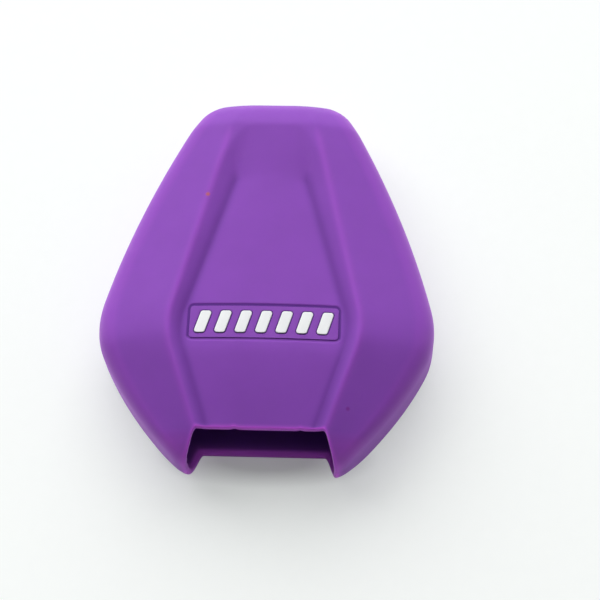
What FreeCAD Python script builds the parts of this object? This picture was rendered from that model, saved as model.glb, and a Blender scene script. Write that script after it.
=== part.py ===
"""Silicone key fob cover: a one-piece moulded sleeve with a badge plate and three press pads.

Frame: millimetres, origin under the middle of the cover on the surface it lies on,
+X across the cover, +Y from the open mouth to the narrow closed end, +Z out of the back.
"""

import FreeCAD, Part
import math
import os

# Overall sizes of the sleeve.
LENGTH = 60.0
WIDTH = 49.4
CREST_HEIGHT = 15.6
WALL = 1.6

# Plan outline: narrow end, hips (the widest place) and the tips beside the mouth.
NARROW_END_WIDTH = 19.9
TIP_WIDTH = 22.8
HIP_FROM_TIPS = 20.3
UPPER_SIDE_BULGE = 1.8
LOWER_SIDE_BULGE = 1.75
HIP_BLEND = 2.6

# Rounding of the sleeve.
BACK_EDGE_RADIUS = 4.6
FRONT_EDGE_RADIUS = 4.2
END_RADIUS = 3.6
TIP_RADIUS = 0.9
LEAST_RADIUS = 0.2

# Facets that fall away from the ridges on the back and from the flat on the front.
BACK_FACET_SLOPE = 0.30
END_FACET_SLOPE = 0.45
FRONT_FACET_WIDTH = 9.0
FRONT_FACET_SLOPE = 0.12
FRONT_TRIM = 0.3
TIP_LIFT = 2.6

# Ridges along the back: heights, and spans from ridge to ridge.
RIDGE_FAR_HEIGHT = 13.3
RIDGE_LIP_HEIGHT = 13.5
CREST_FROM_TIPS = 19.0
RIDGE_TOP_SPAN = 12.8
RIDGE_CREST_SPAN = 28.7
RIDGE_LIP_SPAN = 18.6
RIDGE_BLEND = 2.2

# Sunken panel between the ridges, with a ramp at the narrow end.
PANEL_DEPTH = 0.9
PANEL_LIP_DEPTH = 0.5
PANEL_TOP_FROM_END = 14.9
RAMP_LENGTH = 8.75
PANEL_TOP_SPAN = 10.3
RAMP_TOP_SPAN = 11.2
PANEL_CREST_SPAN = 25.0
PANEL_LIP_SPAN = 15.4
PANEL_BLEND = 2.0
LEAST_BAND = 0.6

# Mouth: a flared notch through the back and the front wall.
NOTCH_DEPTH = 4.5
NOTCH_WIDTH = 18.6
NOTCH_FLARE = 1.75
NOTCH_CORNER_RADIUS = 0.8

# Badge plate let into the sunken panel, with raised bars let into the plate.
BADGE_WIDTH = 21.5
BADGE_HEIGHT = 5.1
BADGE_CORNER_RADIUS = 0.5
BADGE_THICKNESS = 0.8
BADGE_GROOVE = 0.4
BADGE_FROM_TIPS = 20.1
BAR_COUNT = 7
BAR_WIDTH = 1.6
BAR_LENGTH = 3.5
BAR_LEAN = 1.0
BAR_PITCH = 2.95
BAR_INLAY = 0.5
BAR_PROUD = 0.12
BAR_GAP = 0.16

# Press pads on the front, each hung in its window by a thin sloping web.
PAD_NAMES = ("lock", "unlock", "alarm")
PAD_WIDTH = 13.0
PAD_LENGTH = 8.0
PAD_CORNER_RADIUS = 2.5
PAD_PITCH = 12.2
PAD_MIDDLE_FROM_TIPS = 31.0
PAD_SINK = 0.25
WEB_WIDTH = 1.3
WEB_THICKNESS = 0.5
WEB_PAD_LEVEL = 0.4
WEB_WALL_LEVEL = 1.0
ICON_INLAY = 0.4
ICON_PROUD = 0.1

# Icons on the pads: padlocks and a bell.
ICON_STROKE = 0.6
LOCK_BODY_WIDTH = 3.0
LOCK_BODY_HEIGHT = 2.1
LOCK_CORNER_RADIUS = 0.3
SHACKLE_RADIUS = 0.8
SHACKLE_RISE = 0.7
SHACKLE_OPENING = 0.5
BELL_RADIUS = 1.15
BELL_SKIRT = 1.1
BELL_RIM_WIDTH = 3.5
BELL_CLAPPER_RADIUS = 0.55
BELL_CLAPPER_GAP = 0.25

# Room that cutting shapes reach past what they cut, the share of a side that a corner's
# rounding may take, the widest step between cross-sections and the steps in an end's rounding.
OVERCUT = 2.0
ARC_SHARE = 0.48
WIDEST_STEP = 3.2
CAP_STEPS = 5
PARALLEL = 1e-6

# Places along the cover that follow from the sizes above.
END_Y = LENGTH / 2
TIPS_Y = -LENGTH / 2
HIP_Y = TIPS_Y + HIP_FROM_TIPS
CREST_Y = TIPS_Y + CREST_FROM_TIPS
LIP_Y = TIPS_Y + NOTCH_DEPTH
PANEL_TOP_Y = END_Y - PANEL_TOP_FROM_END
RAMP_TOP_Y = PANEL_TOP_Y + RAMP_LENGTH
BADGE_Y = TIPS_Y + BADGE_FROM_TIPS
BEND_Y = BADGE_Y - BADGE_HEIGHT / 2 - 2 * BADGE_GROOVE
PAD_MIDDLE_Y = TIPS_Y + PAD_MIDDLE_FROM_TIPS
RIDGE_SLOPE = (CREST_HEIGHT - RIDGE_FAR_HEIGHT) / (RAMP_TOP_Y - CREST_Y)


def vector(x, y, z):
    return FreeCAD.Vector(x, y, z)


def smooth_min(a, b, blend):
    """The lesser of a and b, rounded off where they are closer than blend."""
    overlap = max(blend - abs(a - b), 0.0) / blend
    return min(a, b) - overlap**2 * blend / 4


def side_x(start, end, bulge, y):
    """x at y on a side from start to end, swollen by bulge, and straight past its ends."""
    share = (y - start[1]) / (end[1] - start[1])
    within = min(max(share, 0.0), 1.0)
    chord = end[0] - start[0]
    swelling = 4 * bulge * within * (1 - within)
    slope = chord + 4 * bulge * (1 - 2 * within)
    return start[0] + chord * within + swelling + slope * (share - within)


def bent_x(top, middle, bottom, blend, y, bulges=(0.0, 0.0)):
    """Half width at y of a plan line that runs out from top to middle and in to bottom."""
    peak = (middle[0] + blend / 4, middle[1])
    upper = side_x(top, peak, bulges[0], y)
    lower = side_x(peak, bottom, bulges[1], y)
    return smooth_min(upper, lower, blend)


def outline_x(y):
    """Half width of the sleeve."""
    shoulder = (NARROW_END_WIDTH / 2, END_Y)
    hip = (WIDTH / 2, HIP_Y)
    tip = (TIP_WIDTH / 2, TIPS_Y)
    return bent_x(shoulder, hip, tip, HIP_BLEND, y, (UPPER_SIDE_BULGE, LOWER_SIDE_BULGE))


def ridge_x(y):
    """Half the span from ridge to ridge."""
    top = (RIDGE_TOP_SPAN / 2, RAMP_TOP_Y)
    crest = (RIDGE_CREST_SPAN / 2 - RIDGE_BLEND / 4, CREST_Y)
    lip = (RIDGE_LIP_SPAN / 2, LIP_Y)
    return bent_x(top, crest, lip, RIDGE_BLEND, y)


def panel_x(y):
    """Half width of the sunken panel, and of its ramp at the narrow end."""
    top = (PANEL_TOP_SPAN / 2, PANEL_TOP_Y)
    crest = (PANEL_CREST_SPAN / 2 - PANEL_BLEND / 4, CREST_Y)
    lip = (PANEL_LIP_SPAN / 2, LIP_Y)
    if y > PANEL_TOP_Y:
        half = side_x(top, (RAMP_TOP_SPAN / 2, RAMP_TOP_Y), 0.0, y)
    else:
        half = bent_x(top, crest, lip, PANEL_BLEND, y)
    return min(half, ridge_x(y) - LEAST_BAND)


def ridge_z(y):
    """Height of the ridges: straight up to the crest, then a falling curve to the mouth."""
    if y > RAMP_TOP_Y:
        return RIDGE_FAR_HEIGHT - END_FACET_SLOPE * (y - RAMP_TOP_Y)
    if y > CREST_Y:
        return RIDGE_FAR_HEIGHT + RIDGE_SLOPE * (RAMP_TOP_Y - y)
    share = (CREST_Y - y) / (CREST_Y - LIP_Y)
    return CREST_HEIGHT - (CREST_HEIGHT - RIDGE_LIP_HEIGHT) * share**2


def flat_panel_z(y):
    """Height of the flat stretch of the sunken panel, which holds the badge."""
    return RIDGE_FAR_HEIGHT + RIDGE_SLOPE * (RAMP_TOP_Y - y) - PANEL_DEPTH


def panel_z(y):
    """Height of the sunken panel: ramp, flat stretch, then a falling curve to the mouth."""
    if y >= RAMP_TOP_Y:
        return ridge_z(y)
    if y > PANEL_TOP_Y:
        share = (y - PANEL_TOP_Y) / RAMP_LENGTH
        foot = flat_panel_z(PANEL_TOP_Y)
        return foot + (RIDGE_FAR_HEIGHT - foot) * share
    if y > BEND_Y:
        return flat_panel_z(y)
    top = flat_panel_z(BEND_Y)
    share = (BEND_Y - y) / (BEND_Y - LIP_Y)
    return top - (top - RIDGE_LIP_HEIGHT + PANEL_LIP_DEPTH) * share**2


def front_lift(y):
    """Rise of the front towards the tips beside the mouth."""
    share = max((LIP_Y - y) / NOTCH_DEPTH, 0.0)
    return TIP_LIFT * share**2


def section_corners(y):
    """Corners (x, z) of the sleeve's cross-section at y, right side up and left side down."""
    half, ridge, panel = outline_x(y), ridge_x(y), panel_x(y)
    back_edge_z = ridge_z(y) - BACK_FACET_SLOPE * (half - ridge)
    front_z = front_lift(y) - FRONT_TRIM
    right = [
        (half - FRONT_FACET_WIDTH, front_z),
        (half, front_z + FRONT_FACET_SLOPE * FRONT_FACET_WIDTH),
        (half, back_edge_z),
        (ridge, ridge_z(y)),
        (panel, panel_z(y)),
    ]
    return right + [(-x, z) for x, z in reversed(right)]


def inset_corners(corners, depth, front_depth):
    """The corners moved so that each side lies depth further in, and the front side front_depth."""
    count = len(corners)
    lines = []
    for index, start in enumerate(corners):
        end = corners[(index + 1) % count]
        run, rise = end[0] - start[0], end[1] - start[1]
        size = math.hypot(run, rise)
        normal = (-rise / size, run / size)
        inward = front_depth if index == count - 1 else depth
        lines.append((normal, normal[0] * start[0] + normal[1] * start[1] + inward))
    moved = []
    for index, corner in enumerate(corners):
        (n1, d1), (n2, d2) = lines[index - 1], lines[index]
        cross = n1[0] * n2[1] - n1[1] * n2[0]
        if abs(cross) < PARALLEL:
            moved.append((corner[0] + n2[0] * depth, corner[1] + n2[1] * depth))
        else:
            moved.append(((d1 * n2[1] - d2 * n1[1]) / cross, (n1[0] * d2 - n2[0] * d1) / cross))
    return moved


def rounded_wire(corners, radii, place):
    """A closed wire through flat corners, with an arc at each corner that has a radius.

    place turns a flat point into a point in space."""
    count = len(corners)
    pieces = []
    for index, corner in enumerate(corners):
        before = FreeCAD.Vector(*corners[index - 1], 0) - FreeCAD.Vector(*corner, 0)
        after = FreeCAD.Vector(*corners[(index + 1) % count], 0) - FreeCAD.Vector(*corner, 0)
        here = FreeCAD.Vector(*corner, 0)
        if radii[index] <= 0:
            pieces.append([here])
            continue
        half_angle = before.getAngle(after) / 2
        room = ARC_SHARE * min(before.Length, after.Length)
        tangent = min(radii[index] / math.tan(half_angle), room)
        radius = tangent * math.tan(half_angle)
        before.normalize()
        after.normalize()
        middle = (before + after).normalize() * (radius / math.sin(half_angle) - radius)
        pieces.append([here + before * tangent, here + middle, here + after * tangent])
    edges = []
    for index, piece in enumerate(pieces):
        if len(piece) > 1:
            edges.append(Part.Arc(*[place(p) for p in piece]).toShape())
        start, end = piece[-1], pieces[(index + 1) % count][0]
        edges.append(Part.LineSegment(place(start), place(end)).toShape())
    return Part.Wire(edges)


def section_wire(y, cap_inset, depth):
    """The sleeve's cross-section at y, drawn in by a cap's rounding and by depth inside the skin."""
    inward = cap_inset + depth
    front_inward = inward + (FRONT_TRIM if depth else 0.0)
    corners = inset_corners(section_corners(y), inward, front_inward)
    front = max(FRONT_EDGE_RADIUS - inward, LEAST_RADIUS)
    back = max(BACK_EDGE_RADIUS - inward, LEAST_RADIUS)
    half_radii = [0, front, back, 0, 0]
    return rounded_wire(corners, half_radii + half_radii[::-1], lambda p: vector(p.x, y, p.y))


def body_stations(near_y, far_y):
    """Places of the cross-sections between the two end caps, close together where the form bends."""
    feature_places = [LIP_Y, BEND_Y, CREST_Y, HIP_Y, PANEL_TOP_Y, RAMP_TOP_Y]
    places = sorted({near_y, far_y, *[y for y in feature_places if near_y < y < far_y]})
    stations = [places[0]]
    for start, end in zip(places, places[1:]):
        steps = max(1, math.ceil((end - start) / WIDEST_STEP))
        stations += [start + (end - start) * step / steps for step in range(1, steps + 1)]
    return stations


def lofted_body(depth):
    """The sleeve's outer form, or its hollow at depth inside the skin."""
    far, near = END_Y - depth, TIPS_Y + depth
    end_radius = max(END_RADIUS - depth, LEAST_RADIUS)
    tip_radius = max(TIP_RADIUS - depth, LEAST_RADIUS)
    turns = [math.pi / 2 * step / CAP_STEPS for step in range(1, CAP_STEPS + 1)]
    sections = [(near + tip_radius * (1 - math.sin(t)), tip_radius * (1 - math.cos(t))) for t in turns[::-1]]
    sections += [(y, 0.0) for y in body_stations(near + tip_radius, far - end_radius)]
    sections += [(far - end_radius * (1 - math.sin(t)), end_radius * (1 - math.cos(t))) for t in turns]
    wires = [section_wire(y, inset, depth) for y, inset in sections]
    return Part.makeLoft(wires, True, True)


def prism(corners, radii, low, high):
    """A block from z low to high on a flat outline with rounded corners."""
    wire = rounded_wire(corners, radii, lambda p: vector(p.x, p.y, low))
    return Part.Face(wire).extrude(vector(0, 0, high - low))


def rectangle(width, height, x=0.0, y=0.0):
    half_width, half_height = width / 2, height / 2
    return [
        (x - half_width, y - half_height),
        (x + half_width, y - half_height),
        (x + half_width, y + half_height),
        (x - half_width, y + half_height),
    ]


def rounded_block(width, height, radius, low, high, x=0.0, y=0.0):
    return prism(rectangle(width, height, x, y), [radius] * 4, low, high)


def notch():
    """The flared cut that opens the mouth, right through back and front."""
    reach = NOTCH_DEPTH + OVERCUT
    flare = NOTCH_FLARE * reach / NOTCH_DEPTH
    near_y = LIP_Y - reach
    half = NOTCH_WIDTH / 2
    corners = [(-half - flare, near_y), (half + flare, near_y), (half, LIP_Y), (-half, LIP_Y)]
    radii = [0, 0, NOTCH_CORNER_RADIUS, NOTCH_CORNER_RADIUS]
    return prism(corners, radii, -OVERCUT, CREST_HEIGHT + OVERCUT)


def on_panel(shape):
    """Moves a shape from the badge's own flat to the sunken panel's slope."""
    placed = shape.copy()
    placed.rotate(vector(0, 0, 0), vector(1, 0, 0), -math.degrees(math.atan(RIDGE_SLOPE)))
    placed.translate(vector(0, BADGE_Y, flat_panel_z(BADGE_Y)))
    return placed


def bar_outline(index, growth):
    """One leaning bar of the badge, grown by a margin on every side."""
    x = (index - (BAR_COUNT - 1) / 2) * BAR_PITCH
    half_width, half_length = BAR_WIDTH / 2 + growth, BAR_LENGTH / 2 + growth
    lean = BAR_LEAN * half_length / BAR_LENGTH
    return [
        (x - half_width - lean, -half_length),
        (x + half_width - lean, -half_length),
        (x + half_width + lean, half_length),
        (x - half_width + lean, half_length),
    ]


def bars(growth, low, high):
    radius = BAR_WIDTH / 4 + growth
    return [prism(bar_outline(index, growth), [radius] * 4, low, high) for index in range(BAR_COUNT)]


def badge_pocket():
    margin = 2 * BADGE_GROOVE
    radius = BADGE_CORNER_RADIUS + BADGE_GROOVE
    return on_panel(
        rounded_block(BADGE_WIDTH + margin, BADGE_HEIGHT + margin, radius, -BADGE_THICKNESS, OVERCUT)
    )


def badge_plate():
    plate = rounded_block(BADGE_WIDTH, BADGE_HEIGHT, BADGE_CORNER_RADIUS, -BADGE_THICKNESS, 0.0)
    return on_panel(plate.cut(bars(BAR_GAP, -BAR_INLAY, OVERCUT)))


def badge_bars():
    return Part.makeCompound([on_panel(bar) for bar in bars(0.0, -BAR_INLAY, BAR_PROUD)])


def pad_y(name):
    """Middle of a pad: the first pad is nearest the mouth."""
    place = PAD_NAMES.index(name) - (len(PAD_NAMES) - 1) / 2
    return PAD_MIDDLE_Y + place * PAD_PITCH


def pad_block(name, growth, low, high):
    width, length = PAD_WIDTH + 2 * growth, PAD_LENGTH + 2 * growth
    return rounded_block(width, length, PAD_CORNER_RADIUS + growth, low, high, 0.0, pad_y(name))


def window(name):
    """The hole in the front wall that a pad and its web fill."""
    return pad_block(name, WEB_WIDTH, -OVERCUT, WALL + OVERCUT)


def web_cone(name, lift):
    """A block that widens from the pad to its window, for one face of the web."""
    low, high = WEB_PAD_LEVEL + lift, WEB_WALL_LEVEL + lift
    rings = []
    for growth, z in ((0.0, low), (WEB_WIDTH, high)):
        corners = rectangle(PAD_WIDTH + 2 * growth, PAD_LENGTH + 2 * growth, 0.0, pad_y(name))
        radii = [PAD_CORNER_RADIUS + growth] * 4
        rings.append(rounded_wire(corners, radii, lambda p, z=z: vector(p.x, p.y, z)))
    return Part.makeLoft(rings, True, True)


def web(name):
    """The thin skirt between a pad and its window, sloping in from pad to wall."""
    wall_band = pad_block(name, WEB_WIDTH, WEB_WALL_LEVEL, WEB_WALL_LEVEL + WEB_THICKNESS)
    skirt = web_cone(name, 0.0).fuse(wall_band)
    return skirt.cut(web_cone(name, WEB_THICKNESS)).cut(pad_block(name, 0.0, -OVERCUT, WALL + OVERCUT))


def padlock(shackle_lift, low, high):
    """A padlock whose bow stands shackle_lift higher, and off one leg when it is open."""
    body = rounded_block(LOCK_BODY_WIDTH, LOCK_BODY_HEIGHT, LOCK_CORNER_RADIUS, low, high)
    foot = LOCK_BODY_HEIGHT / 2
    bow_y = foot + SHACKLE_RISE + shackle_lift
    outer, inner = SHACKLE_RADIUS + ICON_STROKE / 2, SHACKLE_RADIUS - ICON_STROKE / 2
    tall = high - low
    bow = Part.makeCylinder(outer, tall, vector(0, bow_y, low)).cut(
        Part.makeCylinder(inner, tall, vector(0, bow_y, low))
    )
    bow = bow.cut(Part.makeBox(4 * outer, 2 * outer, tall, vector(-2 * outer, bow_y - 2 * outer, low)))
    legs = []
    for side in (-1, 1):
        leg_foot = foot - LOCK_CORNER_RADIUS if side < 0 or not shackle_lift else bow_y - SHACKLE_OPENING
        corner = vector(side * SHACKLE_RADIUS - ICON_STROKE / 2, leg_foot, low)
        legs.append(Part.makeBox(ICON_STROKE, bow_y - leg_foot, tall, corner))
    return body.fuse([bow, *legs]).removeSplitter()


def bell(low, high):
    """A bell with its rim, and a clapper apart below it."""
    tall = high - low
    dome = Part.makeCylinder(BELL_RADIUS, tall, vector(0, BELL_SKIRT / 2, low))
    skirt = Part.makeBox(2 * BELL_RADIUS, BELL_SKIRT, tall, vector(-BELL_RADIUS, -BELL_SKIRT / 2, low))
    rim_top = -BELL_SKIRT / 2
    rim = rounded_block(BELL_RIM_WIDTH, ICON_STROKE, ICON_STROKE / 3, low, high, 0, rim_top)
    clapper_y = rim_top - ICON_STROKE / 2 - BELL_CLAPPER_GAP
    clapper = Part.makeCylinder(BELL_CLAPPER_RADIUS, tall, vector(0, clapper_y, low))
    above = Part.makeBox(4 * BELL_RADIUS, OVERCUT, tall, vector(-2 * BELL_RADIUS, clapper_y, low))
    return Part.makeCompound([dome.fuse([skirt, rim]).removeSplitter(), clapper.cut(above)])


def icon(name):
    """The pad's sign, drawn to be read from outside with the mouth end up."""
    low, high = PAD_SINK - ICON_PROUD, PAD_SINK + ICON_INLAY
    drawings = {
        "lock": lambda: padlock(0.0, low, high),
        "unlock": lambda: padlock(SHACKLE_OPENING, low, high),
        "alarm": lambda: bell(low, high),
    }
    drawn = drawings[name]()
    middle = drawn.BoundBox.Center
    drawn.translate(vector(-middle.x, -middle.y, 0))
    drawn.rotate(vector(0, 0, 0), vector(0, 0, 1), 180)
    drawn.translate(vector(0, pad_y(name), 0))
    return drawn


def pad(name):
    return pad_block(name, 0.0, PAD_SINK, WALL).cut(icon(name).Solids)


def sleeve():
    """The moulding: outer form less its hollow, mouth, badge pocket and pad windows."""
    reach = LENGTH + WIDTH
    below = Part.makeBox(2 * reach, 2 * reach, reach, vector(-reach, -reach, -reach))
    form = lofted_body(0.0).cut(below)
    form = form.cut(lofted_body(WALL))
    form = form.cut([notch(), badge_pocket(), *[window(name) for name in PAD_NAMES]])
    return form


def main():
    os.makedirs("parts", exist_ok=True)
    pieces = {"sleeve": sleeve(), "badge_plate": badge_plate(), "badge_bars": badge_bars()}
    for name in PAD_NAMES:
        pieces[f"{name}_pad"] = pad(name)
        pieces[f"{name}_pad_web"] = web(name)
        pieces[f"{name}_icon"] = icon(name)
    for node, shape in pieces.items():
        shape.exportStep(os.path.join("parts", f"{node}.step"))
        box = shape.BoundBox
        sizes = f"{box.XLength:.2f} x {box.YLength:.2f} x {box.ZLength:.2f} mm"
        valid = all(solid.isValid() for solid in shape.Solids)
        print(f"{node}: {len(shape.Solids)} solids, {sizes}, {shape.Volume:.1f} mm3, valid {valid}")


main()
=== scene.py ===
"""Looks of a silicone key fob cover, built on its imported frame.

Forms are worked out in millimetres in the frame's axes and turned into metres when a mesh is
made: +X across the cover, +Y from the open mouth to the narrow end, +Z out of the back.
"""

import math

import bmesh
import bpy
import numpy as np
from mathutils import Matrix, Vector


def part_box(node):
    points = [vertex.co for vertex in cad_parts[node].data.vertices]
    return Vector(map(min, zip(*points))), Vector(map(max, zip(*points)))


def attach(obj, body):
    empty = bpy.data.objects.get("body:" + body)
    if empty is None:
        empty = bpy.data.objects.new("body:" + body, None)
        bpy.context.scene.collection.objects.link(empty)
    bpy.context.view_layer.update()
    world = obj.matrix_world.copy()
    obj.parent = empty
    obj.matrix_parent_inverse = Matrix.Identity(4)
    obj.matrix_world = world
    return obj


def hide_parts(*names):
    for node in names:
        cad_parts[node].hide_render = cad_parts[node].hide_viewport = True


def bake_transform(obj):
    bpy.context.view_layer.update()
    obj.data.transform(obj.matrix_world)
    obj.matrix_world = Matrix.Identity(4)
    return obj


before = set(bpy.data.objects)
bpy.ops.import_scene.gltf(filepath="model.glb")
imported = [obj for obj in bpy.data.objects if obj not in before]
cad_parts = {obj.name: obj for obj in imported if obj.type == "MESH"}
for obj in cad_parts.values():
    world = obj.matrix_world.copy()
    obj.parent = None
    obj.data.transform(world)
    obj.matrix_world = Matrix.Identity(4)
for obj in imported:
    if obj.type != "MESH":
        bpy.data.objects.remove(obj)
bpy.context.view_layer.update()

MM = 0.001
TINY = 1e-9


def box_mm(node):
    """Lowest and highest corner of a frame node, in millimetres."""
    low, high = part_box(node)
    return np.array(low) / MM, np.array(high) / MM


# Sleeve: overall sizes from the frame, the rest as the moulding is drawn.
sleeve_low, sleeve_high = box_mm("sleeve")
WIDTH = sleeve_high[0] - sleeve_low[0]
END_Y = sleeve_high[1]
TIPS_Y = -END_Y
CREST_HEIGHT = sleeve_high[2]
WALL = 1.6

NARROW_END_WIDTH = 19.9
TIP_WIDTH = 22.8
HIP_Y = TIPS_Y + 20.3
UPPER_SIDE_BULGE = 1.82
LOWER_SIDE_BULGE = 1.75
HIP_BLEND = 2.6

# Edges of the cross-section: how far each bend reaches in from the corner, and how closely it
# follows the corner.
BACK_EDGE_REACH = 3.0
BACK_EDGE_DROP = 3.4
MOUTH_EDGE_REACH = 1.8
MOUTH_EDGE_DROP = 2.4
FRONT_EDGE_REACH = 3.8
FRONT_EDGE_RISE = 3.6
EDGE_PULL = 0.68
LEAST_REACH = 0.7
FRONT_ROOM_SHARE = 0.9
END_RADIUS = 3.6
TIP_RADIUS = 1.2

FAR_FACET_SLOPE = 0.26
NEAR_FACET_SLOPE = 0.34
END_FACET_SLOPE = 0.27
END_FACET_CURVE = 0.035
FRONT_FACET_WIDTH = 6.5
FRONT_FACET_SLOPE = 0.12
FRONT_FACET_SOFTNESS = 0.6
TIP_LIFT = 2.3
TIP_DROP = 1.8

# Ridges and sunken panel of the back.
LIP_Y = TIPS_Y + 4.5
CREST_Y = TIPS_Y + 19.0
PANEL_TOP_Y = END_Y - 14.9
RAMP_LENGTH = 8.75
RAMP_TOP_Y = PANEL_TOP_Y + RAMP_LENGTH
RIDGE_FAR_HEIGHT = 13.3
RIDGE_LIP_HEIGHT = 13.5
RIDGE_TOP_SPAN = 12.8
RIDGE_CREST_SPAN = 28.7
RIDGE_LIP_SPAN = 18.6
RIDGE_BLEND = 2.2
PANEL_DEPTH = 0.65
PANEL_LIP_DEPTH = 0.4
PANEL_TOP_SPAN = 10.3
PANEL_CREST_SPAN = 25.0
PANEL_LIP_SPAN = 15.4
PANEL_BLEND = 2.0
PANEL_ARCH = 0.035
PANEL_CROWN = 0.5
LEAST_BAND = 0.5
RIDGE_SLOPE = (CREST_HEIGHT - RIDGE_FAR_HEIGHT) / (RAMP_TOP_Y - CREST_Y)

# How far the moulded edges are rounded: in millimetres for the ridges, in shares of the
# panel's depth for the creases.
RIDGE_SOFTNESS = 0.5
RIDGE_END_SOFTNESS = 2.5
END_SOFTNESS = 0.5
CREST_SOFTNESS = 0.3
CREASE_SOFTNESS = 0.14
RAMP_SOFTNESS = 0.1
SHOULDER_SOFTNESS = 0.2
RAMP_SHOULDER_SOFTNESS = 0.03
FALL_POWER = 1.3

# Painted light and shade on the skin: how strongly painted highlights and painted light make ridges,
# walls and tips paler, and painted shade makes creases, badge groove and inside darker, and how far
# that reaches.
WALL_PAINTED_LIGHT = 0.14
WALL_LEVELS = {"back_bend": (0.2, 1.0), "side": (1.0, 0.6), "front_bend": (0.6, 0.0)}
WALL_LEVEL_POWER = 0.5
LOWER_EDGE_PAINTED_LIGHT = 0.05
LOWER_EDGE_POWER = 4.0
TIP_PAINTED_LIGHT = 0.22
TIP_PAINTED_LIGHT_SHARE = 0.4
TIP_EDGE_POWER = 2.0
RIDGE_PAINTED_HIGHLIGHT = 0.12
RIDGE_HIGHLIGHT_WIDTH = 0.6
RIDGE_HIGHLIGHT_RISE = 4.0
PANEL_ROW_SHARE = 0.8
CREASE_PAINTED_SHADE = 0.34
CREASE_PANEL_WIDTH = 0.65
CREASE_BAND_WIDTH = 0.9
GROOVE_PAINTED_SHADE = 0.7
LOW_GROOVE_PAINTED_SHADE = 0.1
INSIDE_PAINTED_SHADE = 0.25

# Mouth.
NOTCH_DEPTH = LIP_Y - TIPS_Y
NOTCH_WIDTH = 18.6
NOTCH_FLARE = 1.45
NOTCH_CORNER = 0.35
RIM_EDGE = 0.3
RIM_WALL = 1.15
RIM_INNER_EDGE = 0.8
# Reach of the painted highlight along the mouth's cut edge.
RIM_FADE = 0.7
RIM_SHARES = (0.25, 0.5, 0.75)
# Painted light on the lower lip, and painted highlight on the cut edge beside the upper lip and on its
# inner side.
LOWER_LIP_PAINTED_LIGHT = 1.0
LOWER_LIP_FADE = 2.7
PRONG_PAINTED_HIGHLIGHT = 0.7
RIM_INNER_PAINTED_HIGHLIGHT = 0.5
LIP_NICKS = ((-3.6, 0.45, 0.16), (5.7, 0.35, 0.12))

# Badge.
plate_low, plate_high = box_mm("badge_plate")
BADGE_WIDTH = plate_high[0] - plate_low[0]
BADGE_HEIGHT = 5.1
BADGE_CORNER_RADIUS = 0.5
BADGE_SINK = 0.1
BADGE_GROOVE = 0.4
BADGE_Y = TIPS_Y + 20.1
BEND_Y = BADGE_Y - BADGE_HEIGHT / 2 - 2 * BADGE_GROOVE
POCKET_WALL = 0.28
PLATE_EDGE = 0.045
CROWN_STEP = 0.9
BAR_COUNT = 7
BAR_WIDTH = 1.6
BAR_LENGTH = 3.5
BAR_LEAN = 1.0
BAR_PITCH = 2.95
BAR_PROUD = 0.12
BAR_GAP = 0.16
BAR_EDGE = 0.1

# Press pads of the front.
PAD_NAMES = ("lock", "unlock", "alarm")
PAD_CORNER_RADIUS = 2.5
PAD_EDGE = 0.35
PAD_DISH = 0.1
PAD_FACE_SHARES = (0.2, 0.4, 0.6, 0.75, 0.88)
PAD_EDGE_STEPS = 6
LOOP_CORNER_STEPS = 14
ARC_STEPS = 16
ICON_STROKE = 0.6
ICON_EDGE = 0.06
ICON_CORNER_STEPS = 5
LOCK_BODY_WIDTH = 3.0
LOCK_BODY_HEIGHT = 2.1
LOCK_CORNER_RADIUS = 0.3
SHACKLE_RADIUS = 0.8
SHACKLE_RISE = 0.7
SHACKLE_OPENING = 0.5
BELL_RADIUS = 1.15
BELL_SKIRT = 1.1
BELL_RIM_WIDTH = 3.5
BELL_CLAPPER_RADIUS = 0.55
BELL_CLAPPER_GAP = 0.25
BELL_STEPS = 24
WEB_WIDTH = 1.3
WEB_PAD_LEVEL = 0.5
WEB_WALL_LEVEL = 1.15
WEB_THICKNESS = 0.25
WEB_STEPS = 13
WINDOW_EDGE = 0.2
WINDOW_EDGE_STEPS = 5
WINDOW_FRAME = 0.55


def smooth_min(a, b, blend):
    """The lesser of a and b, rounded off where they are closer than blend."""
    overlap = np.maximum(blend - np.abs(a - b), 0.0) / blend
    return np.minimum(a, b) - overlap**2 * blend / 4


def soft_rise(a, blend):
    """Nothing below -blend, a itself above blend, and a smooth bend between."""
    bend = (np.clip(a, -blend, blend) + blend) ** 2 / (4 * blend)
    return np.where(a > blend, a, bend)


def share_along(start, end, place):
    """How far a place is on its way from start to end: 0 before it, 1 past it."""
    return np.clip((place - start) / (end - start), 0.0, 1.0)


def side_x(start, end, bulge, y):
    """x at y on a side from start to end, swollen by bulge, and straight past its ends."""
    share = (y - start[1]) / (end[1] - start[1])
    within = np.clip(share, 0.0, 1.0)
    chord = end[0] - start[0]
    slope = chord + 4 * bulge * (1 - 2 * within)
    return start[0] + chord * within + 4 * bulge * within * (1 - within) + slope * (share - within)


def bent_x(top, middle, bottom, blend, y, bulges=(0.0, 0.0)):
    """Half width at y of a plan line that runs out from top to middle and in to bottom."""
    upper = side_x(top, middle, bulges[0], y)
    lower = side_x(middle, bottom, bulges[1], y)
    return smooth_min(upper, lower, blend)


def outline_x(y):
    hip = (WIDTH / 2 + HIP_BLEND / 4, HIP_Y)
    shoulder = (NARROW_END_WIDTH / 2, END_Y)
    tip = (TIP_WIDTH / 2, TIPS_Y)
    return bent_x(shoulder, hip, tip, HIP_BLEND, y, (UPPER_SIDE_BULGE, LOWER_SIDE_BULGE))


def ridge_x(y):
    top = (RIDGE_TOP_SPAN / 2, RAMP_TOP_Y)
    crest = (RIDGE_CREST_SPAN / 2, CREST_Y)
    return bent_x(top, crest, (RIDGE_LIP_SPAN / 2, LIP_Y), RIDGE_BLEND, y)


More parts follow.
